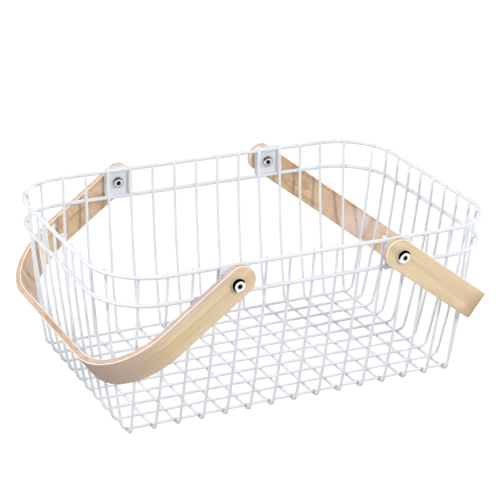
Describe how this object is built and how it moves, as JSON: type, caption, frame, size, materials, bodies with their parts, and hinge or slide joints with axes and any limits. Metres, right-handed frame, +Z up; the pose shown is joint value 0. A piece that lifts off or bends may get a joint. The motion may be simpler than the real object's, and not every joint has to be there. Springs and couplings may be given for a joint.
{
  "type": "wire produce basket",
  "caption": "Open rectangular wire basket with flared walls, a double rim and swinging bentwood handles on bolted bracket plates, for carrying produce.",
  "frame": {"origin": "on the resting plane, under the middle of the basket", "axes": "+Z up, +X along the basket's length towards the right handle's end, +Y across its width towards the back"},
  "size_m": [0.4344, 0.3064, 0.175],
  "materials": {
    "white_powder_coat": "satin",
    "bentwood": "satin",
    "chrome_fastener": "polished",
    "black_nylon": "matte"
  },
  "bodies": {
    "root": {"cross_wire_01": "white_powder_coat", "cross_wire_02": "white_powder_coat", "cross_wire_03": "white_powder_coat", "cross_wire_04": "white_powder_coat", "cross_wire_05": "white_powder_coat", "cross_wire_06": "white_powder_coat", "cross_wire_07": "white_powder_coat", "cross_wire_08": "white_powder_coat", "cross_wire_09": "white_powder_coat", "cross_wire_10": "white_powder_coat", "cross_wire_11": "white_powder_coat", "cross_wire_12": "white_powder_coat", "cross_wire_13": "white_powder_coat", "cross_wire_14": "white_powder_coat", "cross_wire_15": "white_powder_coat", "long_wire_01": "white_powder_coat", "long_wire_02": "white_powder_coat", "long_wire_03": "white_powder_coat", "long_wire_04": "white_powder_coat", "long_wire_05": "white_powder_coat", "long_wire_06": "white_powder_coat", "long_wire_07": "white_powder_coat", "long_wire_08": "white_powder_coat", "long_wire_09": "white_powder_coat", "long_wire_10": "white_powder_coat", "top_rim": "white_powder_coat", "second_rim": "white_powder_coat", "bracket_plate_front_left": "white_powder_coat", "bracket_plate_back_left": "white_powder_coat", "bracket_plate_front_right": "white_powder_coat", "bracket_plate_back_right": "white_powder_coat", "sleeve_nut_front_left": "chrome_fastener", "sleeve_nut_back_left": "chrome_fastener", "sleeve_nut_front_right": "chrome_fastener", "sleeve_nut_back_right": "chrome_fastener", "spacer_washer_front_left": "black_nylon", "spacer_washer_back_left": "black_nylon", "spacer_washer_front_right": "black_nylon", "spacer_washer_back_right": "black_nylon", "socket_screw_front_left": "chrome_fastener", "socket_screw_back_left": "chrome_fastener", "socket_screw_front_right": "chrome_fastener", "socket_screw_back_right": "chrome_fastener"},
    "left_handle": {"left_handle": "bentwood"},
    "right_handle": {"right_handle": "bentwood"}
  },
  "joints": [
    {"name": "left_handle_swing", "type": "hinge", "parent": "root", "child": "left_handle", "pos_m": [-0.0875, 0, 0.1575], "axis": [0, 1, 0], "range_deg": [0, 156]},
    {"name": "right_handle_swing", "type": "hinge", "parent": "root", "child": "right_handle", "pos_m": [0.0875, 0, 0.1575], "axis": [0, -1, 0], "range_deg": [0, 156]}
  ]
}
